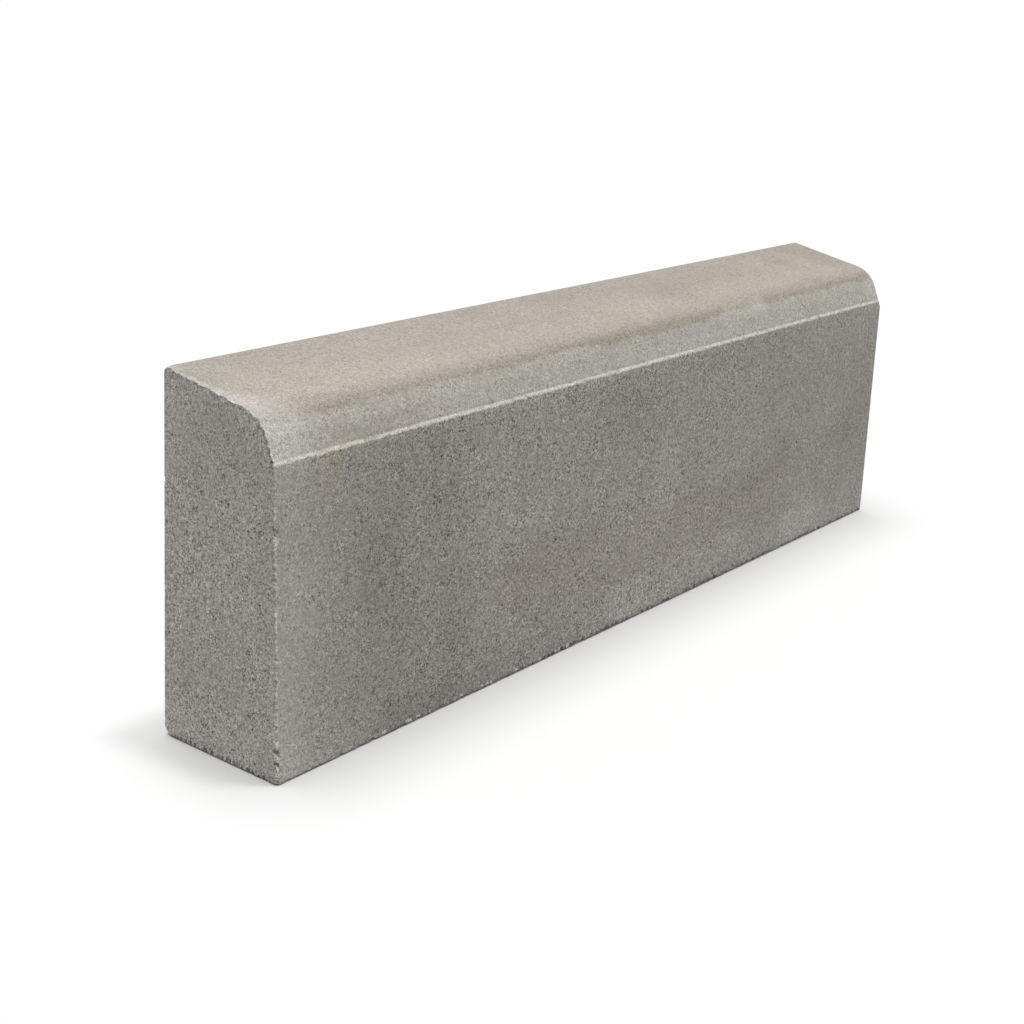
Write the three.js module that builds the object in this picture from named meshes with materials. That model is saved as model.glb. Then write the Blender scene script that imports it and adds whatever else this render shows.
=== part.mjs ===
// Concrete kerb stone: one cast piece that lies on its bedding face.
// X runs along the stone, -Y is the road side, +Z is up. The origin is under the middle of the stone.
// Lengths are in millimetres and angles in degrees.
import * as THREE from "three";

// Overall size
const length = 1000;
const height = 310; // bedding face to the back edge of the top
const footWidth = 130; // front foot to back face

// Top and road side
const topFall = 9.8; // the top falls to the road side by this angle
const noseRadius = 33;
const bevelLean = 21.7; // the bevel under the nose leans back from upright by this angle
const ledgeDrop = 49.5; // back edge of the top to the inner end of the ledge
const ledgeDepth = 2.3;
const ledgeFall = 2.3; // the ledge sheds water by this much
const faceBatter = 10; // the tall face under the ledge leans back by this much

// Rounding that the mould leaves
const ledgeRootRadius = 2;
const ledgeLipRadius = 1.5;
const backEdgeRadius = 2;
const backFootRadius = 5;
const frontFootRadius = 2;
const endEdgeRadius = 1; // all round both ends

const radians = THREE.MathUtils.degToRad;
const front = -footWidth / 2;
const back = footWidth / 2;
const topSlope = Math.tan(radians(topFall));
const bevelSlope = Math.tan(radians(bevelLean));

// The inner end of the ledge, where the bevel starts.
const ledgeY = front + faceBatter + ledgeDepth;
const ledgeZ = height - ledgeDrop;

// The nose would be a sharp corner where the line of the bevel meets the line of the top.
const topAtLedgeZ = height - (back - ledgeY) * topSlope;
const noseZ = ledgeZ + (topAtLedgeZ - ledgeZ) / (1 - bevelSlope * topSlope);
const noseY = ledgeY + (noseZ - ledgeZ) * bevelSlope;

// The sharp corners of the section, anticlockwise as seen from +X, each with its rounding.
const corners = [
  { at: new THREE.Vector2(front, 0), radius: frontFootRadius },
  { at: new THREE.Vector2(back, 0), radius: backFootRadius },
  { at: new THREE.Vector2(back, height), radius: backEdgeRadius },
  { at: new THREE.Vector2(noseY, noseZ), radius: noseRadius },
  { at: new THREE.Vector2(ledgeY, ledgeZ), radius: ledgeRootRadius },
  { at: new THREE.Vector2(front + faceBatter, ledgeZ - ledgeFall), radius: ledgeLipRadius },
];

// A closed outline with straight sides and a true arc at each corner.
function roundedOutline(points) {
  const outline = new THREE.Shape();
  points.forEach(({ at, radius }, i) => {
    const before = points.at(i - 1).at.clone().sub(at).normalize();
    const after = points[(i + 1) % points.length].at.clone().sub(at).normalize();
    const halfAngle = Math.acos(before.dot(after)) / 2;
    const start = at.clone().addScaledVector(before, radius / Math.tan(halfAngle));
    const end = at.clone().addScaledVector(after, radius / Math.tan(halfAngle));
    const inward = before.clone().add(after).normalize();
    const centre = at.clone().addScaledVector(inward, radius / Math.sin(halfAngle));
    const from = start.sub(centre).angle();
    const to = end.sub(centre).angle();
    const clockwise = before.cross(after) > 0;
    outline.absarc(centre.x, centre.y, radius, from, to, clockwise);
  });
  outline.closePath();
  return outline;
}

const body = new THREE.ExtrudeGeometry(roundedOutline(corners), {
  depth: length - 2 * endEdgeRadius,
  curveSegments: 12,
  bevelThickness: endEdgeRadius,
  bevelSize: endEdgeRadius,
  bevelOffset: -endEdgeRadius,
  bevelSegments: 4,
});
body.translate(0, 0, endEdgeRadius - length / 2);

// The section is drawn in X and Y and pulled along Z: turn it so that it stands up and runs along X.
const alongX = new THREE.Vector3(1, 0, 0);
const acrossY = new THREE.Vector3(0, 1, 0);
const upZ = new THREE.Vector3(0, 0, 1);
body.applyMatrix4(new THREE.Matrix4().makeBasis(acrossY, upZ, alongX));

const concrete = new THREE.MeshStandardMaterial({ color: 0xb9b6ae, roughness: 0.9, metalness: 0 });
const stone = new THREE.Mesh(body, concrete);
stone.name = "kerb_stone";

const group = new THREE.Group();
group.add(stone);
export default group;
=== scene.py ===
# %% [markdown]
# # A concrete kerb stone
# One block of dry-pressed concrete, a metre long, that edges a road. It has a top that falls to
# the road, a rounded nose, a bevel, a narrow ledge that the press leaves and a tall plain face.
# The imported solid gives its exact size. This script dresses it: the same section is skinned
# again with a dense mesh, the arrises are chipped, and one procedural concrete covers it.

import math

import bpy
import numpy as np
from mathutils import Matrix, Vector


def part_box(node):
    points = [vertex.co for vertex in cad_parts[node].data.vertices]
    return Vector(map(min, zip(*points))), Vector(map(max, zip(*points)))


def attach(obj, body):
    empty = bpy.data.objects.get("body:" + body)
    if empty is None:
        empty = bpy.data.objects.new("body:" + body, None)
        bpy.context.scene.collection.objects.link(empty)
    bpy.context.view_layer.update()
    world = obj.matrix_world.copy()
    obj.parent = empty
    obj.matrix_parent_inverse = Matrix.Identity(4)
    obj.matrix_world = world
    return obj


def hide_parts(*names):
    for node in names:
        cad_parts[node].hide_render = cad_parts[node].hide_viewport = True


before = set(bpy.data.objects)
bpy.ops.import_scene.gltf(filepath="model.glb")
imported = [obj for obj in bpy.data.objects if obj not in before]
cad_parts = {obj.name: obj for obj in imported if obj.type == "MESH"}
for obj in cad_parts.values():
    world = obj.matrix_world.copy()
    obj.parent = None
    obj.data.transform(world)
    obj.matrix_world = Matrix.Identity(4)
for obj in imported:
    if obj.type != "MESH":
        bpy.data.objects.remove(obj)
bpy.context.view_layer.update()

# %% [markdown]
# ## The camera
# A long block shows its shape best in a three-quarter view from a little above, near enough
# for the far end to look smaller. A camera is placed by an azimuth, an elevation and a roll, as
# a photographer would set a tripod head, and its three axes make the rotation. Aiming it with
# a constraint would also work, but plain angles can be read and changed one by one.

# %% Camera on its tripod
azimuth, elevation, roll = math.radians(-53.6), math.radians(18.61), math.radians(3.87)
tripod_place = (-1.34379, -0.89498, 0.63204)
film_width_mm, focal_length_mm = 36, 59.44
back_of_camera = Vector((
    math.sin(azimuth) * math.cos(elevation),
    -math.cos(azimuth) * math.cos(elevation),
    math.sin(elevation),
))
level_right = Vector((math.cos(azimuth), math.sin(azimuth), 0))
right_of_camera = Matrix.Rotation(roll, 3, back_of_camera) @ level_right
top_of_camera = back_of_camera.cross(right_of_camera)

camera = bpy.data.objects.new("camera", bpy.data.cameras.new("camera"))
camera.data.sensor_width = film_width_mm
camera.data.lens = focal_length_mm
camera.rotation_mode = "QUATERNION"
camera.rotation_quaternion = Matrix(
    (right_of_camera, top_of_camera, back_of_camera)
).transposed().to_quaternion()
camera.location = tripod_place
bpy.context.scene.collection.objects.link(camera)
bpy.context.scene.camera = camera
print("camera looks along", tuple(round(-c, 3) for c in back_of_camera))

# %% [markdown]
# ## Writing shaders as sums
# Node trees are easiest to read as arithmetic. The small class below wraps one output socket and
# gives it +, -, * and /, each of which adds a Math node. The bench makes every other node: its
# settings are set first, then its sockets take plain values or other wires. Dragging nodes by
# hand gives the same tree, but a line of arithmetic says in one glance what it does.

# %% Wires and the bench
class Wire:
    """One output socket on a bench, ready for arithmetic."""

    def __init__(self, bench, socket):
        self.bench = bench
        self.socket = socket

    def combined(self, operation, first, second):
        """One Math node on two wires or numbers."""
        return self.bench.node("ShaderNodeMath", {"operation": operation}, {0: first, 1: second})

    def __add__(self, other):
        return self.combined("ADD", self, other)

    def __sub__(self, other):
        return self.combined("SUBTRACT", self, other)

    def __mul__(self, other):
        return self.combined("MULTIPLY", self, other)

    def __truediv__(self, other):
        return self.combined("DIVIDE", self, other)

    def __rsub__(self, other):
        return self.combined("SUBTRACT", other, self)

    __radd__ = __add__
    __rmul__ = __mul__


class Bench:
    """The node tree of one material or of the world."""

    def __init__(self, owner):
        owner.use_nodes = True
        self.tree = owner.node_tree
        self.tree.nodes.clear()

    def node(self, kind, settings, sockets, out=0):
        """Makes a node, sets it, fills its sockets and gives back one of its outputs."""
        made = self.tree.nodes.new(kind)
        for name, value in settings.items():
            setattr(made, name, value)
        for name, value in sockets.items():
            if isinstance(value, Wire):
                self.tree.links.new(value.socket, made.inputs[name])
            else:
                made.inputs[name].default_value = value
        return Wire(self, made.outputs[out]) if made.outputs else None


print("wires and bench are ready")

# %% [markdown]
# ## Daylight and a white surround
# A product table is lit by one broad soft light overhead, with a little light from all round. It
# hangs slightly behind the stone, and a smaller panel in front of the far end draws the short
# shadow beside the near end. Sun lamps with wide discs do this evenly over the whole floor,
# where area lamps would fade with distance. The surround has to look white without lighting the
# stone any more, so white is given only to what the camera, a reflection or a clear surface sees.

# %% World and lamps
def seen_directly(bench):
    """1 for what the camera, a mirror or a clear surface looks at, and 0 for plain lighting."""
    path = bench.node("ShaderNodeLightPath", {}, {}).socket.node.outputs
    straight = Wire(bench, path["Is Camera Ray"]) + Wire(bench, path["Is Glossy Ray"])
    return straight + Wire(bench, path["Is Transmission Ray"])


def hang_lamp(name, spread, strength, tilt_x, tilt_y):
    """A soft lamp straight above, tilted so that its light comes a little from +x or +y."""
    lamp = bpy.data.objects.new(name, bpy.data.lights.new(name, "SUN"))
    lamp.data.angle = math.radians(spread)
    lamp.data.energy = strength * math.pi
    lamp.rotation_euler = (math.radians(-tilt_y), math.radians(tilt_x), 0)
    scene.collection.objects.link(lamp)
    print(name, "gives a level white surface a brightness of", strength)


scene = bpy.context.scene
scene.view_settings.view_transform = "Standard"
scene.world = bpy.data.worlds.new("surround")
sky = Bench(scene.world)
light_from_all_round = 0.26
glow = sky.node("ShaderNodeBackground", {}, {"Color": (1, 1, 1, 1), "Strength": light_from_all_round})
white = sky.node("ShaderNodeBackground", {}, {"Color": (1, 1, 1, 1), "Strength": 1.0})
both = sky.node("ShaderNodeMixShader", {}, {0: seen_directly(sky), 1: glow, 2: white})
sky.node("ShaderNodeOutputWorld", {}, {"Surface": both})
hang_lamp("broad_overhead", spread=33, strength=0.571, tilt_x=-0.9, tilt_y=6.2)
hang_lamp("small_panel", spread=6.8, strength=0.209, tilt_x=7.1, tilt_y=-5.8)

# %% [markdown]
# ## The floor
# The floor is a plain sheet, wide enough to have no edge in view. As with the surround, it lights
# the stone as grey paint and is looked at as white, with a faint glow of its own that keeps the
# shadow pale. One white paint for both would do, but it would light the stone's foot too much.

# %% Floor
floor_reach = 60
paint_tone, seen_tone, floor_glow = 0.62, 0.94, 0.035
floor_mesh = bpy.data.meshes.new("floor")
floor_mesh.from_pydata([
    (-floor_reach, -floor_reach, 0), (floor_reach, -floor_reach, 0),
    (floor_reach, floor_reach, 0), (-floor_reach, floor_reach, 0),
], [], [(0, 1, 2, 3)])
floor = bpy.data.objects.new("floor", floor_mesh)
scene.collection.objects.link(floor)
floor_paint = bpy.data.materials.new("floor_paint")
bench = Bench(floor_paint)
paint = bench.node("ShaderNodeBsdfDiffuse", {}, {"Color": (paint_tone,) * 3 + (1,)})
white_paint = bench.node("ShaderNodeBsdfDiffuse", {}, {"Color": (seen_tone,) * 3 + (1,)})
faint_glow = bench.node("ShaderNodeEmission", {}, {"Color": (1, 1, 1, 1), "Strength": floor_glow})
seen_paint = bench.node("ShaderNodeAddShader", {}, {0: white_paint, 1: faint_glow})
both = bench.node("ShaderNodeMixShader", {}, {0: seen_directly(bench), 1: paint, 2: seen_paint})
bench.node("ShaderNodeOutputMaterial", {}, {"Surface": both})
floor_mesh.materials.append(floor_paint)
print("floor", 2 * floor_reach, "m wide")

# %% [markdown]
# ## The section
# The stone is the same all along, so everything starts from its section: six corners, each with
# its own rounding. A walk round those straight lines and arcs gives the outline. It could be
# drawn as a curve object and swept, but then the arrises would have as few points as the flats.
# Here the walk is sampled again with points crowded at the arrises, where the chips will be.

# %% Corners of the section
MM = 0.001
low_corner, high_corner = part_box("kerb_stone")
length = round(high_corner.x - low_corner.x, 6)
height, foot_width = 310 * MM, 130 * MM
top_fall, bevel_lean = math.radians(9.8), math.radians(21.7)
ledge_drop, ledge_depth, face_batter = 49.5 * MM, 2.3 * MM, 10 * MM
front_y, back_y = -foot_width / 2, foot_width / 2
lip_y = front_y + face_batter
root_y, root_z = lip_y + ledge_depth, height - ledge_drop
lip_z = root_z - ledge_depth
top_over_root = height - (back_y - root_y) * math.tan(top_fall)
nose_z = root_z + (top_over_root - root_z) / (1 - math.tan(bevel_lean) * math.tan(top_fall))
nose_y = root_y + (nose_z - root_z) * math.tan(bevel_lean)

corners = [
    ("front foot", front_y, 0, 2 * MM),
    ("back foot", back_y, 0, 5 * MM),
    ("back edge", back_y, height, 2 * MM),
    ("nose", nose_y, nose_z, 33 * MM),
    ("ledge root", root_y, root_z, 2 * MM),
    ("ledge lip", lip_y, lip_z, 1.5 * MM),
]


def rounded(corners, step):
    """Walks round the corners, each rounded by its radius: points, and where each corner lies."""
    walk, middles = [], {}
    for i, (name, y, z, radius) in enumerate(corners):
        at = np.array([y, z])
        before = np.array(corners[i - 1][1:3]) - at
        after = np.array(corners[(i + 1) % len(corners)][1:3]) - at
        before /= np.linalg.norm(before)
        after /= np.linalg.norm(after)
        half = math.acos(before @ after) / 2
        centre = at + (before + after) / np.linalg.norm(before + after) * radius / math.sin(half)
        start = at + before * radius / math.tan(half) - centre
        end = at + after * radius / math.tan(half) - centre
        turn = math.atan2(start[0] * end[1] - start[1] * end[0], start @ end)
        n = max(2, round(abs(turn) * radius / step))
        for k in range(n + 1):
            c, s = math.cos(turn * k / n), math.sin(turn * k / n)
            walk.append(centre + (c * start[0] - s * start[1], s * start[0] + c * start[1]))
        middles[name] = len(walk) - 1 - n // 2
    return np.array(walk), middles


walk, middles = rounded(corners, 0.2 * MM)
off_by = float(abs(walk.max(axis=0) - high_corner[1:]).max()) / MM
print("the walk comes within", round(off_by, 3), "mm of the solid's back and highest point")

# %% [markdown]
# ## Points where they are needed
# A flat face needs few points, and an arris that will be chipped needs many. A pace is worked out
# for every place along the walk, fine at the arrises and coarser away from them, and
# the points are set out at that pace. Even points would be simpler, but it would take several
# times as many of them.

# %% Points round the section
def stations(total, pace_at):
    """Stations from 0 to total whose distance apart follows pace_at, a function of the way gone."""
    s = np.linspace(0, total, 40001)
    count = np.concatenate([[0], np.cumsum(np.diff(s) / pace_at((s[1:] + s[:-1]) / 2))])
    return np.interp(np.linspace(0, count[-1], round(count[-1]) + 1), count, s)


def crowded(places, coarse, growth):
    """A pace that is fine at each (place, pace) and grows to coarse away from them."""
    def pace(s):
        near_places = [fine + growth * np.abs(s - place) for place, fine in places]
        return np.minimum(np.min(near_places, axis=0), coarse)
    return pace


loop = np.vstack([walk, walk[:1]])
along = np.concatenate([[0], np.cumsum(np.linalg.norm(np.diff(loop, axis=0), axis=1))])
girth = along[-1]
at_corner = {name: along[i] for name, i in middles.items()}
fineness_mm = {
    "front foot": 0.8, "back foot": 2, "back edge": 1.5,
    "nose": 1.9, "ledge root": 0.6, "ledge lip": 0.6,
}
crowds = [
    (at_corner[name] + lap, pace * MM)
    for lap in (0, girth, -girth)
    for name, pace in fineness_mm.items()
]
around = stations(girth, crowded(crowds, 9 * MM, 0.13))[:-1]
print(len(around), "points round the section,", round(girth / MM), "mm round")

# %% [markdown]
# ## The skin
# The section is repeated at stations along the stone, again crowded near the ends. At each end
# the rings turn over the arris and shrink to the middle of the end face, so that the whole
# stone is one closed skin. A remeshed block would be closed too, but here the rows stay
# parallel to the arrises, and chips cut into them stay crisp.

# %% One ring
end_round = 1 * MM
middle = np.array([0.0, 0.15])


def outline(s):
    """Points on the section at these ways round, and the directions that face out there."""
    points = np.column_stack([np.interp(s, along, loop[:, k]) for k in range(2)])
    step = 0.3 * MM
    ahead, behind = ((s + step) % girth, (s - step) % girth)
    run = [np.interp(ahead, along, loop[:, k]) - np.interp(behind, along, loop[:, k]) for k in range(2)]
    facing = np.column_stack([run[1], -run[0]])
    return points, facing / np.linalg.norm(facing, axis=1)[:, None]


def ring(s, x, inset=0.0, shrink=0.0):
    """Points of one ring, and in a fourth column how far each lies inside the outline."""
    points, facing = outline(s)
    points = points - facing * inset
    way = (middle - points) * shrink
    inside = inset + np.linalg.norm(way, axis=1)
    return np.column_stack([np.full(len(points), x), points + way, inside])


def end_rings(side, s, depths, shrinks):
    """Rings from the body over the arris of one end and some way into its face."""
    made = [ring(s, side * (length / 2 - end_round - depth)) for depth in depths]
    for turn in np.radians([22.5, 45, 67.5, 90]):
        x = side * (length / 2 - end_round * (1 - math.sin(turn)))
        made.append(ring(s, x, end_round * (1 - math.cos(turn))))
    return made + [ring(s, side * length / 2, end_round, shrink) for shrink in shrinks]


print("the end arris is rounded by", end_round / MM, "mm")

# %% [markdown]
# ## From end to end
# The near end shows its whole arris, so its rings are finer all round, and a zip of triangles
# will join them to the plain ones. The far end and the long body keep the plain rings, because
# only their long arrises show. Fine rings everywhere would make the mesh three or four times
# as heavy.

# %% Rings from end to end
fine_depths_mm = [7, 5.6, 4.4, 3.3, 2.3, 1.4, 0.6, 0]
fine_shrinks = [0.007, 0.016, 0.027, 0.04, 0.058, 0.08]
plain_shrinks = [0.12, 0.18, 0.27, 0.38, 0.52, 0.7, 0.85]
far_shrinks = [0.008, 0.018, 0.035, 0.06, 0.1, 0.16, 0.25, 0.36, 0.5, 0.7, 0.85]


def seen_pace(s):
    """About a millimetre where the arris of the near end is seen, and more on its back."""
    on_back = (s > at_corner["back foot"]) & (s < at_corner["back edge"])
    return np.where(on_back, 2.6 * MM, 1.05 * MM)


fine_around = stations(girth, seen_pace)[:-1]
near = end_rings(-1, fine_around, [depth * MM for depth in fine_depths_mm], fine_shrinks)
near_middle = [ring(around, -length / 2, end_round, shrink) for shrink in plain_shrinks]
fine_depth = fine_depths_mm[0] * MM
body_run = length - 2 * end_round - fine_depth
body_pace = crowded([(0, 0.9 * MM), (body_run, 0.9 * MM)], 2.4 * MM, 0.025)
body = [ring(around, x - length / 2 + end_round + fine_depth) for x in stations(body_run, body_pace)[1:]]
far = end_rings(1, around, [], far_shrinks)
rings = near_middle[::-1] + near[::-1] + body + far
starts = np.cumsum([0] + [len(r) for r in rings])
points, inside = np.split(np.vstack(rings), [3], axis=1)
from_arris = inside[:, 0] + length / 2 - np.abs(points[:, 0])
uncut = points.copy()
print(len(rings), "rings,", len(points), "points")

# %% [markdown]
# ## Chipped arrises
# Pressed concrete is brittle at its edges. When the stone leaves the mould and is stacked, small
# flakes break off every arris. Each flake is a nearly flat cut across the edge, so that is how it
# is made: pick a place on the arris, tilt a small plane there, and push what stands above
# it back onto it, fading out with distance. Displacing by noise alone would look melted.

# %% Flakes
def chip(places, facings, depths, reaches):
    """Cuts one flat flake at each place; points are pushed back along that place's facing."""
    for place, facing, depth, reach in zip(places, facings, depths, reaches):
        offset = points - place
        close = np.flatnonzero(np.abs(offset).max(axis=1) < reach)
        away = np.linalg.norm(offset[close], axis=1) / reach
        proud = offset[close] @ facing + depth
        hold = np.clip(2 * (1 - away**2), 0, 1) * (proud > 0)
        points[close] -= (proud * hold)[:, None] * facing


def scattered(rng, places, facings, lean, depth, reach):
    """Leans each facing its own way and makes many small chips and a few large ones."""
    leaning = facings + rng.normal(0, 1, facings.shape) * lean
    leaning /= np.linalg.norm(leaning, axis=1)[:, None]
    size = rng.uniform(0.3, 1, len(places)) ** 2
    chip(places, leaning, depth * size, reach * (0.45 + 0.55 * size))


def chip_long_edge(rng, name, pitch, depth, reach):
    """Chips along one long arris."""
    place, facing = outline(np.array([at_corner[name]]))
    n = round(length / pitch)
    clear_of_near_end = 8 * MM
    x = rng.uniform(-length / 2 + clear_of_near_end, length / 2, n)
    places = np.column_stack([x, np.tile(place, (n, 1))])
    scattered(rng, places, np.tile([0.0, *facing[0]], (n, 1)), 0.25, depth, reach)


def chip_end_edge(rng, side, start, stop, pitch, depth, reach, toward_end=0.7, lean=0.25, clear=0):
    """Chips round one end, from one corner of the section to the next, kept clear of both."""
    first, last = at_corner[start], at_corner[stop]
    last += girth if last <= first else 0
    n = round((last - first) / pitch)
    place, facing = outline(rng.uniform(first + clear, last - clear, n) % girth)
    places = np.column_stack([np.full(n, side * length / 2), place])
    facings = np.column_stack([np.full(n, side * toward_end), facing * math.sqrt(1 - toward_end**2)])
    scattered(rng, places, facings, np.array(lean), depth, reach)


print("flakes can be cut into", len(points), "points")

# %% [markdown]
# ## Chips along every arris
# Each arris has its own habit. The near end's upper arris is nibbled all along, its upright
# is chipped in steps, the foot loses larger flakes where it is set down, and the ledge's lip
# is only dented. A row gives the pitch of the chips, the depth of the deepest and its reach.

# %% Chips along every arris
near_end, far_end = -1, 1
rng = np.random.default_rng(7)
for side, start, stop, pitch, depth, reach, habit in (
    (near_end, "back edge", "nose", 3.6, 1.8, 3.4, {"toward_end": 0.96}),
    (near_end, "back edge", "ledge lip", 3, 1, 2.6, {"toward_end": 0.95}),
    (near_end, "ledge lip", "front foot", 4.2, 1.3, 3.2, {"lean": (0.2, 0.2, 0.5), "clear": 6 * MM}),
    (near_end, "front foot", "back foot", 3, 1.1, 4, {"toward_end": 0.6, "clear": 8 * MM}),
    (near_end, "back foot", "back edge", 14, 0.4, 4, {}),
    (far_end, "back edge", "back edge", 12, 0.5, 4, {}),
):
    chip_end_edge(rng, side, start, stop, pitch * MM, depth * MM, reach * MM, **habit)
for name, pitch, depth, reach in (
    ("front foot", 4.5, 1.2, 5),
    ("back foot", 12, 1.2, 8),
    ("ledge lip", 7, 0.35, 6),
):
    chip_long_edge(rng, name, pitch * MM, depth * MM, reach * MM)
cut = np.linalg.norm(points - uncut, axis=1) / MM
print("chips moved", int((cut > 0.1).sum()), "points")

# %% [markdown]
# ## Knocked corners
# Corners take the worst of the handling. The near end's two back corners are worn round, its
# front corner has lost a few larger flakes, and the far end is rubbed evenly from the back edge
# to the ledge. The same flat flakes do all of it: laid side by side they wear a corner round.

# %% Knocked corners
def wear_far_edge(depths, reach):
    """Wears the far end evenly from the back edge to the ledge, with a depth at each corner."""
    names = ["back edge", "nose", "ledge root"]
    way = np.arange(at_corner[names[0]], at_corner[names[-1]], 3 * MM)
    place, facing = outline(way)
    toward_end, outward = 0.7, 0.714  # nearly half way between the end and the side
    places = np.column_stack([np.full(len(way), length / 2), place])
    facings = np.column_stack([np.full(len(way), toward_end), facing * outward])
    corner_ways = [at_corner[name] for name in names]
    chip(places, facings, np.interp(way, corner_ways, depths), [reach] * len(way))


def wear_corner(y, z, radius, turns, reach):
    """Rounds one back corner of the near end by flat flakes that touch a circle."""
    turns = np.radians(turns)
    toward_near_end = 0.25
    flakes = np.column_stack([np.full(len(turns), -toward_near_end), np.cos(turns), np.sin(turns)])
    flakes /= np.linalg.norm(flakes, axis=1)[:, None]
    centre = np.array([-length / 2, y, z])
    chip(centre + flakes * radius, flakes, [0] * len(turns), [reach] * len(turns))


def flake(x, y, z, facing, depth, reach):
    """One flake by itself."""
    facing = np.array(facing) / np.linalg.norm(facing)
    chip([[x, y, z]], [facing], [depth], [reach])


edge_wear, edge_back, foot_wear = 5 * MM, 6 * MM, 13 * MM
knock_heights_mm = (17, 28, 208)
edge_z = height - edge_wear - edge_back * math.tan(top_fall)
wear_corner(back_y - edge_wear, edge_z, edge_wear, [15, 50, 85], 12 * MM)
wear_corner(back_y - foot_wear, foot_wear + 0.5 * MM, foot_wear, [-8, -24, -40, -56, -72], 26 * MM)
for up in knock_heights_mm:
    y = front_y + up * MM / height * face_batter
    flake(-length / 2 + 0.5 * MM, y, up * MM, (-0.6, -0.7, 0.35), 1.9 * MM, 3.8 * MM)
flake(-length / 2, front_y, 0, (-0.68, -0.68, -0.25), 2.4 * MM, 11 * MM)
wear_far_edge([3.4 * MM, 4 * MM, 2.2 * MM], 10 * MM)
flake(length / 2, back_y, height, (0.6, 0.35, 0.72), 3 * MM, 14 * MM)
cut = np.linalg.norm(points - uncut, axis=1) / MM
print("deepest cut", round(float(cut.max()), 2), "mm;", int((cut > 0.1).sum()), "points moved")

# %% [markdown]
# ## From rings to a mesh
# Neighbouring rings with the same number of points are joined by four-sided faces. Where a fine
# ring meets a plain one, a zip walks round both and closes one triangle at a time, always
# on the side that lags behind. The innermost ring at each end closes on one middle point.

# %% Closed mesh
def zipped(first_ways, second_ways, first_start, second_start):
    """Triangles between two rings, given each point's way round and the index of the first."""
    i = j = 0
    n, m = len(first_ways), len(second_ways)
    ways = np.append(first_ways, girth), np.append(second_ways, girth)
    made = []
    while i < n or j < m:
        a, b = first_start + i % n, second_start + j % m
        if j == m or (i < n and ways[0][i + 1] <= ways[1][j + 1]):
            made.append((a, first_start + (i + 1) % n, b))
            i += 1
        else:
            made.append((a, second_start + (j + 1) % m, b))
            j += 1
    return made


faces = []
ways = [fine_around if len(r) == len(fine_around) else around for r in rings]
for k in range(len(rings) - 1):
    n, m = len(rings[k]), len(rings[k + 1])
    if n != m:
        faces += zipped(ways[k], ways[k + 1], int(starts[k]), int(starts[k + 1]))
        continue
    here = starts[k] + np.arange(n)
    beside = np.roll(here, -1)
    faces += np.column_stack([here, beside, beside + n, here + n]).tolist()
near_pole, far_pole = len(points), len(points) + 1
vertices = np.vstack([points, [[-length / 2, *middle], [length / 2, *middle]]])
near_rim = starts[0] + np.arange(len(rings[0]))
far_rim = starts[-2] + np.arange(len(rings[-1]))
faces += [(near_pole, b, a) for a, b in zip(near_rim.tolist(), np.roll(near_rim, -1).tolist())]
faces += [(far_pole, a, b) for a, b in zip(far_rim.tolist(), np.roll(far_rim, -1).tolist())]
mesh = bpy.data.meshes.new("cast_kerb")
mesh.from_pydata(vertices.tolist(), [], faces)
mesh.validate()
mesh.polygons.foreach_set("use_smooth", [True] * len(mesh.polygons))
for name, values in (("chipped", cut), ("from_arris", from_arris / MM)):
    attribute = mesh.attributes.new(name, "FLOAT", "POINT")
    attribute.data.foreach_set("value", np.append(values, [0, 0]).astype(np.float32))
kerb = bpy.data.objects.new("cast_kerb", mesh)
scene.collection.objects.link(kerb)
mesh.calc_loop_triangles()
print(len(mesh.loop_triangles), "triangles")

# %% [markdown]
# ## The concrete
# Dry-pressed concrete is sand and fine gravel held in pale cement. Close to, it is a salt and
# pepper of single grains; further off it has soft clouds where the mix was wetter or drier.
# Every tone here is a factor on one base colour, so that sand, clouds and stains can be
# added one at a time and each can be judged alone. The helpers below say in plain words what
# each pattern needs: lumps of noise, and soft steps up, down and between two values.

# %% Place on the stone and soft steps
concrete = bpy.data.materials.new("kerb_concrete")
bench = Bench(concrete)
place = bench.node("ShaderNodeTexCoord", {}, {}, "Object")
parts = bench.node("ShaderNodeSeparateXYZ", {}, {"Vector": place}).socket.node.outputs
x_mm, y_mm, z_mm = (Wire(bench, parts[k]) * (1 / MM) for k in range(3))
way_in = x_mm + length / 2 / MM


def noise(size_mm, detail=2.0, roughness=0.5, stretch=(1, 1, 1), shift=0.0):
    """Soft random lumps of about this size, from -1 to 1 with a mean of 0."""
    scale = tuple(1 / MM / size_mm * s for s in stretch)
    where = bench.node("ShaderNodeMapping", {}, {
        "Vector": place, "Scale": scale, "Location": (shift, -shift, 2 * shift)})
    lumps = bench.node("ShaderNodeTexNoise", {}, {
        "Vector": where, "Scale": 1, "Detail": detail, "Roughness": roughness})
    return lumps * 2 - 1


def rise(value, low, high):
    """0 below low, 1 above high, and a smooth slope between."""
    return bench.node("ShaderNodeMapRange", {"interpolation_type": "SMOOTHSTEP"}, {
        "Value": value, "From Min": low, "From Max": high})


def fall(value, low, high):
    """1 below low, 0 above high, and a smooth slope between."""
    return bench.node("ShaderNodeMapRange", {"interpolation_type": "SMOOTHSTEP"}, {
        "Value": value, "From Min": low, "From Max": high, "To Min": 1, "To Max": 0})


def between(value, low, high, soft):
    """1 between low and high with soft sides."""
    return rise(value, low - soft, low + soft) * fall(value, high - soft, high + soft)


def size_of(value):
    """The value without its sign."""
    return bench.node("ShaderNodeMath", {"operation": "ABSOLUTE"}, {0: value})


print("way_in runs from 0 to", round(length / MM), "mm")

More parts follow.
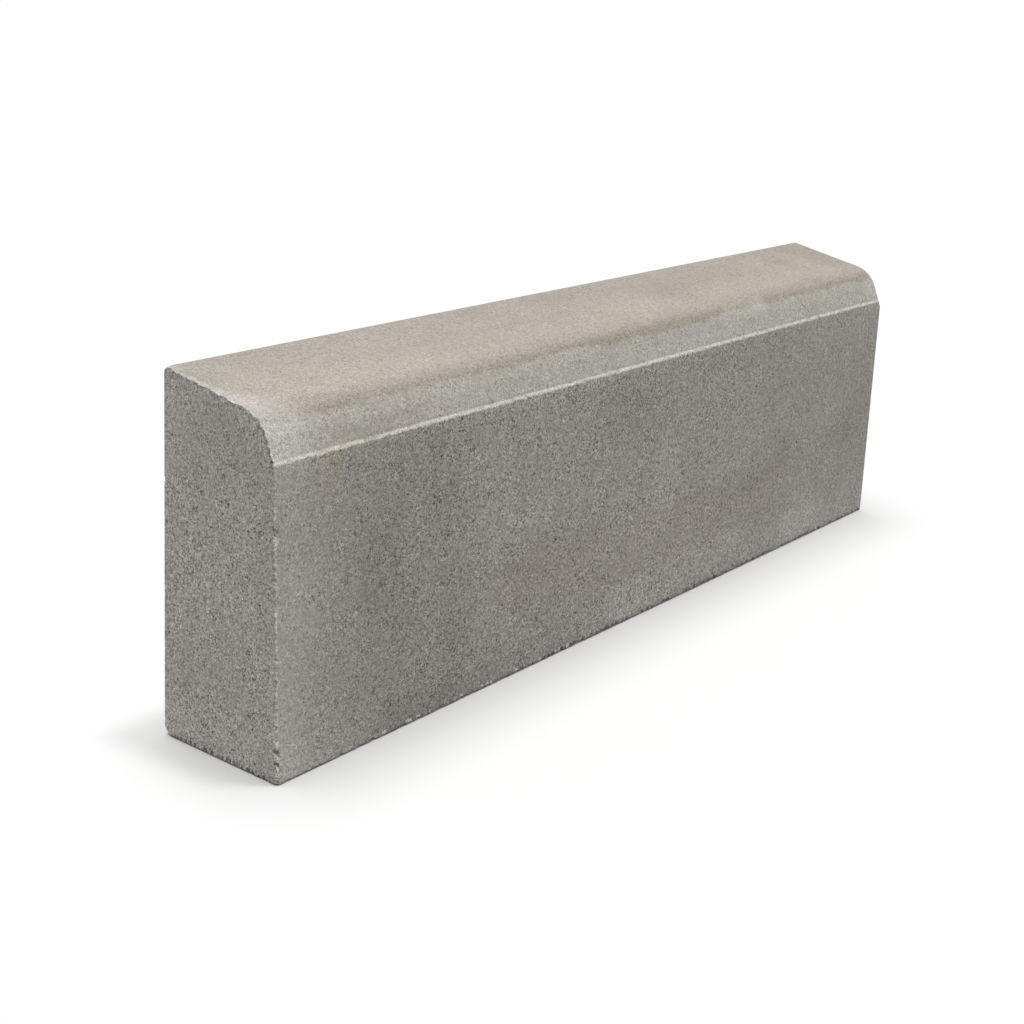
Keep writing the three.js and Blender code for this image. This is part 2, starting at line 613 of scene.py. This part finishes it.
# %% [markdown]
# ## Zones down the road side
# The press leaves each surface different. The top and the nose are trowelled by the die and come
# out smooth and warm, the nose keeps a brown band where fines gather, the bevel is a cool
# pale grey and the tall face and the ends stay open and rough. One distance, measured from the
# back edge over the top and down to the foot, tells them all apart. A mask for each zone
# could be painted on the mesh, but a distance keeps its borders sharp at any number of points.

# %% Where each zone lies
down = (back_y / MM - y_mm) + (height / MM - z_mm)
root_down = (back_y - root_y + height - root_z) / MM
lip_down = (back_y - lip_y + height - lip_z) / MM
top_end, nose_end = 118, 130
coordinates = place.socket.node.outputs
facing_x = bench.node("ShaderNodeSeparateXYZ", {}, {"Vector": Wire(bench, coordinates["Normal"])})
end_face = rise(size_of(facing_x), 0.5, 0.75)
before_back = fall(y_mm, back_y / MM - 1.2, back_y / MM - 0.2)
above_bed = rise(z_mm, 0.5, 2)
road_side = before_back * above_bed * (1 - end_face)
hidden = 1 - end_face - road_side

# Both borders wander, and along two stretches the brown band reaches a little lower.
drift = noise(60, 3) * 2.4
ragged = noise(9, 3, 0.65, (1, 0.5, 0.5)) * 9 + noise(70, 1) * 5
lower = between(way_in, 415, 650, 30) * 5.5 + between(way_in, 740, 1000, 15) * 2.5
nose_border = down + ragged - lower
past_top = rise(down + drift, top_end - 9, top_end + 9)
hard_border = rise(nose_border, nose_end - 3.5, nose_end + 3.5)
soft_border = rise(nose_border, nose_end + 1.5, nose_end + 20)
past_nose = hard_border * 0.5 + soft_border * 0.5
past_ledge = rise(down, lip_down - 0.2, lip_down + 0.8)
top = road_side * (1 - past_top)
nose = road_side * past_top * (1 - past_nose)
bevel = road_side * past_nose * (1 - past_ledge)
ledge_start = rise(down + way_in * 0.0012, root_down - 0.1, root_down + 1.7)
ledge = road_side * ledge_start * fall(down, lip_down - 0.4, lip_down + 1.4)
front = road_side * past_ledge
print("the ledge lies", round(root_down, 1), "to", round(lip_down, 1), "mm down")

# %% [markdown]
# ## The washed edge and the arris
# Fines wash out towards the near end and leave a pale strip beside its arris, wide on the bevel
# and narrower towards the foot. The mesh already knows how far each point lies from the end's
# arris, so a stored number gives the thin line of the arris itself, which noise in space could
# not follow.

# %% Washed edge and arris
washed_bevel, washed_nose = rise(down, 55, 105) * 28, rise(down, 115, 140) * 18
wash_width = washed_bevel + washed_nose - rise(down, 190, 330) * 16 + 3
near_wash = fall((way_in + noise(22, 3) * 14) / wash_width, 0.25, 1.9)
arris = bench.node("ShaderNodeAttribute", {"attribute_name": "from_arris"}, {}, 2)
arris_line = fall(arris, 0.8, 1.7)
print(len(bench.tree.nodes), "nodes so far")

# %% [markdown]
# ## Sand, cracks and pores
# Sand shows as grains of about a millimetre, each with its own tone, which is what a Voronoi
# pattern gives. Between them run short dark cracks where the dry mix did not close, and pale
# ridges, both drawn where a noise crosses its middle. They come in clumps, so a slow noise
# turns them up and down. A few smooth pebbles lie flush in the end.

# %% Grains, cracks and pores
def cells(size_mm, shift=0.0):
    """Single grains: a random tone for each and the distance from its middle."""
    where = bench.node("ShaderNodeMapping", {}, {
        "Vector": place, "Scale": (1 / MM / size_mm,) * 3, "Location": (shift, shift, shift)})
    grains = bench.node("ShaderNodeTexVoronoi", {}, {"Vector": where, "Scale": 1}).socket.node.outputs
    tone = bench.node("ShaderNodeSeparateColor", {}, {"Color": Wire(bench, grains["Color"])})
    return tone, Wire(bench, grains["Distance"])


def dashes(size_mm, shift):
    """Short thin marks: the zero line of one noise, broken up by another."""
    line = fall(size_of(noise(size_mm, 1, shift=shift)), 0.03, 0.24)
    return line * rise(noise(size_mm * 1.2, 1, shift=shift + 3), -0.1, 0.2)


sand, _ = cells(1)
grit, _ = cells(1.8, 7)
fine = noise(1.3, 2, 0.7)
clots = noise(6, 2)
cracks = dashes(3.2, 5)
ridges = dashes(2.7, 15)
clump = rise(noise(17, 3, 0.55, shift=3), -0.3, 0.3)
pick, gap = cells(7, 3)
pores = fall(gap, 0.07, 0.15) * rise(pick, 0.6, 0.64)
pick, gap = cells(6, 11)
flecks = fall(gap, 0.08, 0.17) * rise(pick, 0.7, 0.74)
pick, gap = cells(14, 5)
is_pebble = rise(pick, 0.88, 0.89) * end_face
pebbles = fall(gap, 0.27, 0.3) * is_pebble
pebble_rims = between(gap, 0.27, 0.33, 0.02) * is_pebble
print(len(bench.tree.nodes), "nodes so far")

# %% [markdown]
# ## How rough each zone is
# The same grain covers the whole stone, but the die smears it on the top and leaves it open on the
# ends and the tall face. So each zone gets a strength for it, from about 0.4 where it
# is trowelled to 1 where it is open, and the clumps and the clouds ride on top.

# %% Grain in every zone
dry = between(way_in, 110, 720, 90)
open_end = 0.94 - rise(z_mm, 190, 250) * 0.12
open_front = 0.78 + dry * 0.2 - near_wash * 0.17
open_nose = 0.5 - near_wash * 0.1
trowelled = bevel * 0.54 + nose * open_nose + top * 0.42
open_face = end_face * open_end + front * open_front + trowelled + hidden * 0.8
grain = (sand - 0.5) * 0.74 + (grit - 0.5) * 0.3 + fine * 1.1 + clots * 0.06
grain = grain - cracks * 0.36 + ridges * 0.26
coarse = open_face * (clump * 0.4 + 0.77) * (1 - pebbles * 0.8)
speckle = 1 + grain * coarse - (pores * 0.4 - flecks * 0.3) * open_face - pebble_rims * 0.35
clouds = 1 + noise(26, 2) * 0.07 + noise(95, 2, shift=2) * 0.05
print(len(bench.tree.nodes), "nodes so far")

# %% [markdown]
# ## The colour of each zone
# Each zone has its own grey, taken a little warm or cool. The colours are written as they would
# be measured on the dry stone, and each zone's mask lays its colour over the last. The
# washed strip at the near end is a thin pale veil over all of them.

# %% Zone colours
def mix(factor, first, second):
    """Goes from the first colour to the second."""
    return bench.node("ShaderNodeMix", {"data_type": "RGBA"}, {
        0: factor, 6: first, 7: second}, 2)


colour = (0.505, 0.483, 0.440, 1)
for zone, shade in (
    (end_face, (0.542, 0.518, 0.475, 1)),
    (top, (0.462, 0.416, 0.360, 1)),
    (nose, (0.435, 0.388, 0.329, 1)),
    (bevel, (0.611, 0.586, 0.537, 1)),
    (ledge, (0.730, 0.700, 0.642, 1)),
):
    colour = mix(zone, colour, shade)
veil = near_wash * (top * 0.36 + nose * 0.48 + near_wash * bevel * 0.9 + front * 0.35)
veil_colour = (0.76, 0.740, 0.70, 1)
colour = mix(veil, colour, veil_colour)
print(len(bench.tree.nodes), "nodes so far")

# %% [markdown]
# ## Stains and pale patches
# Rain, handling and the drying of the mix leave soft patches. Each is an oval with a wandering
# border, given by its place, half its width, half its height and how it changes the colour: one
# number darkens or lightens, and three also turn it warmer or cooler. A painted picture would do
# this too, but ovals can be moved and read as numbers.

# %% Stains and pale patches
def vector(operation, **sockets):
    """One Vector Math node; a, b and c are vectors and by is a number."""
    places = {"a": 0, "b": 1, "c": 2, "by": 3}
    out = 1 if operation == "LENGTH" else 0
    return bench.node("ShaderNodeVectorMath", {"operation": operation}, {
        places[name]: value for name, value in sockets.items()}, out)


def oval(spot, x, y, wide, tall, border=0.5):
    """1 in the middle of an oval, fading to 0 outside."""
    offset = vector("MULTIPLY_ADD", a=spot, b=(1 / wide, 1 / tall, 0), c=(-x / wide, -y / tall, 0))
    return fall(vector("LENGTH", a=offset), 1 - border, 1 + border)


def stained(so_far, spot, zone, ovals):
    """Adds what each oval changes in red, green and blue, but only inside the zone."""
    patches = (0, 0, 0)
    for x, y, wide, tall, change in ovals:
        change = change if isinstance(change, tuple) else (change,) * 3
        patch = vector("SCALE", a=change, by=oval(spot, x, y, wide, tall))
        patches = vector("ADD", a=patches, b=patch)
    return vector("ADD", a=so_far, b=vector("SCALE", a=patches, by=zone))


# On the road side an oval is placed by the way in from the near end and the way down.
wander = noise(28, 3, 0.6, shift=9)
side_spot = bench.node("ShaderNodeCombineXYZ", {}, {
    "X": way_in + wander * 24, "Y": down + noise(28, 3, 0.6, shift=13) * 20, "Z": 0})
stains = stained((1, 1, 1), side_spot, front, (
    (145, 310, 75, 170, -0.08),
    (122, 285, 24, 45, -0.10),
    (195, 222, 16, 45, -0.08),
    (215, 352, 20, 75, -0.07),
    (190, 435, 90, 24, -0.06),
    (35, 355, 18, 20, -0.05),
    (42, 220, 26, 28, (-0.05, -0.06, -0.075)),
    (63, 187, 16, 18, (-0.03, -0.05, -0.10)),
    (40, 322, 34, 18, 0.03),
    (14, 360, 20, 45, 0.03),
    (520, 415, 18, 12, -0.06),
    (920, 195, 110, 25, 0.04),
    (300, 280, 60, 18, 0.05),
    (335, 342, 60, 28, (-0.04, -0.05, -0.06)),
    (462, 212, 70, 36, -0.09),
    (545, 296, 24, 42, 0.09),
    (560, 360, 330, 50, (0.0, -0.01, -0.03)),
    (485, 415, 35, 25, 0.08),
    (640, 398, 100, 14, 0.05),
    (620, 445, 280, 16, -0.12),
    (700, 342, 100, 17, (-0.06, -0.06, -0.07)),
    (785, 318, 32, 20, (-0.07, -0.07, -0.08)),
    (925, 326, 30, 18, -0.10),
    (963, 308, 45, 56, (-0.06, -0.06, -0.075)),
    (845, 410, 48, 28, 0.13),
))
stains = stained(stains, side_spot, bevel, (
    (130, 158, 70, 9, (-0.08, -0.10, -0.13)),
    (58, 156, 28, 12, (-0.035, -0.045, -0.065)),
    (850, 156, 35, 9, (-0.05, -0.06, -0.07)),
    (700, 155, 170, 25, (0.02, 0.02, 0.03)),
    (330, 155, 90, 25, -0.02),
))
stains = stained(stains, side_spot, nose, (
    (525, 125, 140, 9, (-0.045, -0.055, -0.075)),
    (382, 125, 18, 6, -0.05),
    (945, 126, 50, 9, -0.06),
    (728, 127, 16, 16, (0.16, 0.18, 0.20)),
    (700, 122, 30, 16, 0.10),
    (670, 127, 8, 6, (0.14, 0.16, 0.18)),
))
stains = stained(stains, side_spot, road_side, (
    (60, 134, 45, 5, -0.05),
    (78, 168, 42, 9, (-0.06, -0.06, -0.10)),
    (130, 136, 14, 9, -0.05),
))
stains = stained(stains, side_spot, top, (
    (16, 42, 28, 42, (-0.01, 0.035, 0.03)),
    (40, 66, 24, 16, (0.06, 0.045, 0.03)),
    (95, 84, 80, 28, (0.05, 0.03, 0.03)),
    (105, 54, 105, 26, 0.045),
    (165, 96, 120, 12, 0.045),
    (242, 75, 15, 38, 0.03),
    (200, 60, 420, 70, (0.004, 0.012, 0.022)),
    (360, 14, 24, 12, -0.06),
    (768, 56, 13, 11, -0.05),
    (882, 45, 10, 9, -0.06),
    (918, 52, 14, 30, 0.04),
    (820, 60, 260, 80, -0.022),
    (500, 92, 650, 26, 0.06),
    (470, 22, 40, 16, -0.05),
    (550, 72, 45, 28, 0.05),
    (645, 66, 30, 38, -0.06),
    (790, 88, 90, 20, 0.05),
    (850, 46, 26, 26, 0.07),
    (972, 40, 28, 50, -0.07),
    (935, 14, 26, 12, -0.05),
))
# On the ends it is placed by how far back it is and how high.
end_spot = bench.node("ShaderNodeCombineXYZ", {}, {
    "X": y_mm + wander * 12, "Y": z_mm + wander * 12, "Z": 0})
stains = stained(stains, end_spot, end_face, (
    (-46, 206, 15, 60, -0.07),
    (-56, 12, 14, 24, -0.11),
    (0, 262, 36, 34, -0.05),
    (52, 190, 14, 100, 0.05),
))
print(len(bench.tree.nodes), "nodes with the stains")

# %% [markdown]
# ## Ledge, foot and back edge
# Long soft lines run along the stone. The foot is painted a little paler, as light thrown up from
# the floor, a painted shade darkens a thin band above the ledge and a painted light lifts the band
# below it, a painted shade darkens the back edge towards the far end, and there the bevel is rubbed
# pale. Each is a band of the way down or the height, faded by the way in.

# %% Long lines
# Painted light: the foot is made paler, standing in for light thrown up from the floor.
foot = fall(z_mm, 0, 60) * (1 - between(way_in, 120, 400, 40) * front)
# Painted light below the ledge, lifting the shade under its lip.
light_below_ledge = front * fall(down, lip_down - 0.8, lip_down + 12.2)
# Painted shade on the bevel just above the ledge.
shade_above_ledge = bevel * between(down, root_down - 2.7, root_down + 0.8, 1)
# Painted shade along the back edge, darker towards the far end.
back_edge_shade = top * fall(down, 1.5, 4) * rise(way_in, 100, 600)
far_rim = rise(way_in, 955, 990) * between(down, 128, 160, 8)
changes = foot * 0.25 + light_below_ledge * 0.07 - shade_above_ledge * 0.06 - back_edge_shade * 0.08
changes = changes + far_rim * 0.15
print(len(bench.tree.nodes), "nodes so far")

# %% [markdown]
# ## Broken edges of the ends
# Where a flake has gone, fresh pale grains show, and a deep flake holds a shadow. The upright
# arrises are set with pale beads, partly worn pale concrete and partly painted highlight, the upper
# ones have a painted highlight along their rim, and just inside the near rim the end is darkened
# by small teeth of painted shade. The mesh says how deep each point was cut, so the fresh
# tone sits exactly on the flakes, and noise along the arris breaks the lines into beads.

# %% Beads, rim and teeth
ledge_height = 258
broken = bench.node("ShaderNodeAttribute", {"attribute_name": "chipped"}, {}, 2)
upright = between(z_mm, 6, ledge_height - 10, 4)
upper = rise(z_mm, ledge_height - 3, ledge_height + 4)
nubs = rise(noise(3.4, 2, shift=21), -0.02, 0.2)
# Pale beads: worn pale concrete, partly a painted highlight on the arris.
beads_and_highlights = arris_line * upright * (nubs * 0.85 + 0.1)
fresh = rise(broken, 0.1, 0.8) * upright * (1 - end_face)
hollow = rise(broken, 1, 1.5) * rise(z_mm, 6, 12) * fall(z_mm, 230, 240)
# Painted highlight along the rim of the upper arrises.
rim_highlight = between(arris, 0.3, 1.4, 0.3) * upper * (1 - end_face) * (nubs * 0.42 + 0.1)
# Painted shade: small dark teeth just inside the near end's upper arris.
end_teeth_shade = end_face * upper * between(arris, 0.7, 2.6, 0.4) * (nubs * 0.7 + 0.3)
end_teeth_shade = end_teeth_shade * fall(way_in, 400, 600)
changes = changes + fresh * 0.25 + beads_and_highlights * 0.7 + rim_highlight - hollow * 0.4 - end_teeth_shade * 0.52
print(len(bench.tree.nodes), "nodes so far")

# %% [markdown]
# ## Painted shade at the foot
# Where the stone stands, a thin dark line of painted shade runs all round, the shade of the gap
# where the foot meets the floor, and crumbs of that shade reach up in patches, more of them on the
# ends and away from the near end. Closer to the near end, small pale teeth of clean concrete stand
# out above it. The noise for both is drawn out upwards, so that each crumb and each tooth is a
# small upright block and not a cloud.

# %% Crumbs and pale teeth
upwards = (1, 1, 0.25)
far_front = front * rise(way_in, 260, 400)
patches = rise(noise(30, 2, shift=8) + end_face * 0.4 + far_front * 0.3, -0.25, 0.1)
# Painted shade: crumbs of the dark line reaching up from the foot.
crumb_shade = rise(noise(5, 2, 0.6, upwards, shift=6), -0.02, 0.08) * patches
crumb_height = 1.3 + end_face * 1.8 + far_front * 2.2
# Painted contact shade: a thin dark line where the stone stands on the floor.
contact_shade = fall(z_mm - crumb_shade * crumb_height - end_face * 0.3, 0.8, 1.4)
teeth = rise(noise(6, 1, stretch=upwards, shift=33), 0.1, 0.2) * between(z_mm, 2.2, 5, 0.6)
teeth = teeth * between(way_in, 90, 420, 30) * (1 - end_face)
changes = changes + teeth * 1.3 - contact_shade * 0.74
print(len(bench.tree.nodes), "nodes so far")

# %% [markdown]
# ## Single knocks on the upright arris
# A few knocks on the near end's front arris are big enough to be seen one by one: dark slots of
# painted shade, two low down and one higher up, with pale bruises near them. Each is a short band
# across the arris, slanted a little and given by its height, half its own height and its change of tone.

# %% Single knocks
off_face = y_mm - front_y / MM - z_mm * (face_batter / height)
beside_arris = way_in - off_face + 0.8
slanted = z_mm + beside_arris * 0.4
# Negative changes paint shade into the slots; positive ones are pale bruises.
knock_shade_and_bruises = 0
for up, half, change in (
    (17.8, 1.6, -0.6),
    (28, 1.6, -0.6),
    (208, 1.4, -0.55),
    (24, 1.1, 0.5),
    (36, 2, 0.4),
    (200.5, 3, 0.45),
):
    knock_shade_and_bruises = between(slanted, up - half, up + half, 0.5) * change + knock_shade_and_bruises
at_arris = fall(size_of(beside_arris), 2.4, 3.8) * fall(y_mm, -50, -40)
changes = changes + knock_shade_and_bruises * at_arris
print(len(bench.tree.nodes), "nodes so far")

# %% [markdown]
# ## All tones together
# Clouds, grains, wear and the painted light and shade are factors on one tone, and that tone
# multiplies the colour of the zone and its stains. Dark gaps between grains hold warm dust and pale
# grains are cooler, so the tone moves blue a little more than red. Multiplying keeps dark stains
# dark under any grain, which adding would not.

# %% All tones together
tone = clouds * speckle * (1 + changes)
share_of_each_colour = (0.96, 1.0, 1.05)
shared_tone = vector("ADD", a=vector("SCALE", a=share_of_each_colour, by=tone - 1), b=(1, 1, 1))
colour = vector("MULTIPLY", a=vector("MULTIPLY", a=colour, b=stains), b=shared_tone)
print(len(bench.tree.nodes), "nodes in the colour")

# %% [markdown]
# ## Relief
# The same grains, cracks and pores stand up or sink in by tenths of a millimetre. That is
# too fine for the mesh, so a bump takes it, in real millimetres. A bump asks for its height three
# times at every point, so it gets only the few patterns that throw a shade of their own.

# %% Bump and surface
relief_mm, pore_depth_mm = 0.22, 0.5
grip = 0.5 + end_face * 0.45 + (front + hidden) * 0.38
height_mm = (fine + (sand - 0.5) * 0.6 - cracks) * grip * relief_mm - pores * pore_depth_mm
relief = bench.node("ShaderNodeBump", {}, {"Strength": 1.0, "Distance": MM, "Height": height_mm})
surface = bench.node("ShaderNodeBsdfPrincipled", {}, {
    "Base Color": colour, "Roughness": 0.92, "Specular IOR Level": 0.25, "Normal": relief})
bench.node("ShaderNodeOutputMaterial", {}, {"Surface": surface})
mesh.materials.append(concrete)
print(len(bench.tree.nodes), "nodes in the concrete")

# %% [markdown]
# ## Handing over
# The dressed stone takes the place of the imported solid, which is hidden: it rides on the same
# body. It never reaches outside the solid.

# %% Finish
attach(kerb, "root")
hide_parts("kerb_stone")
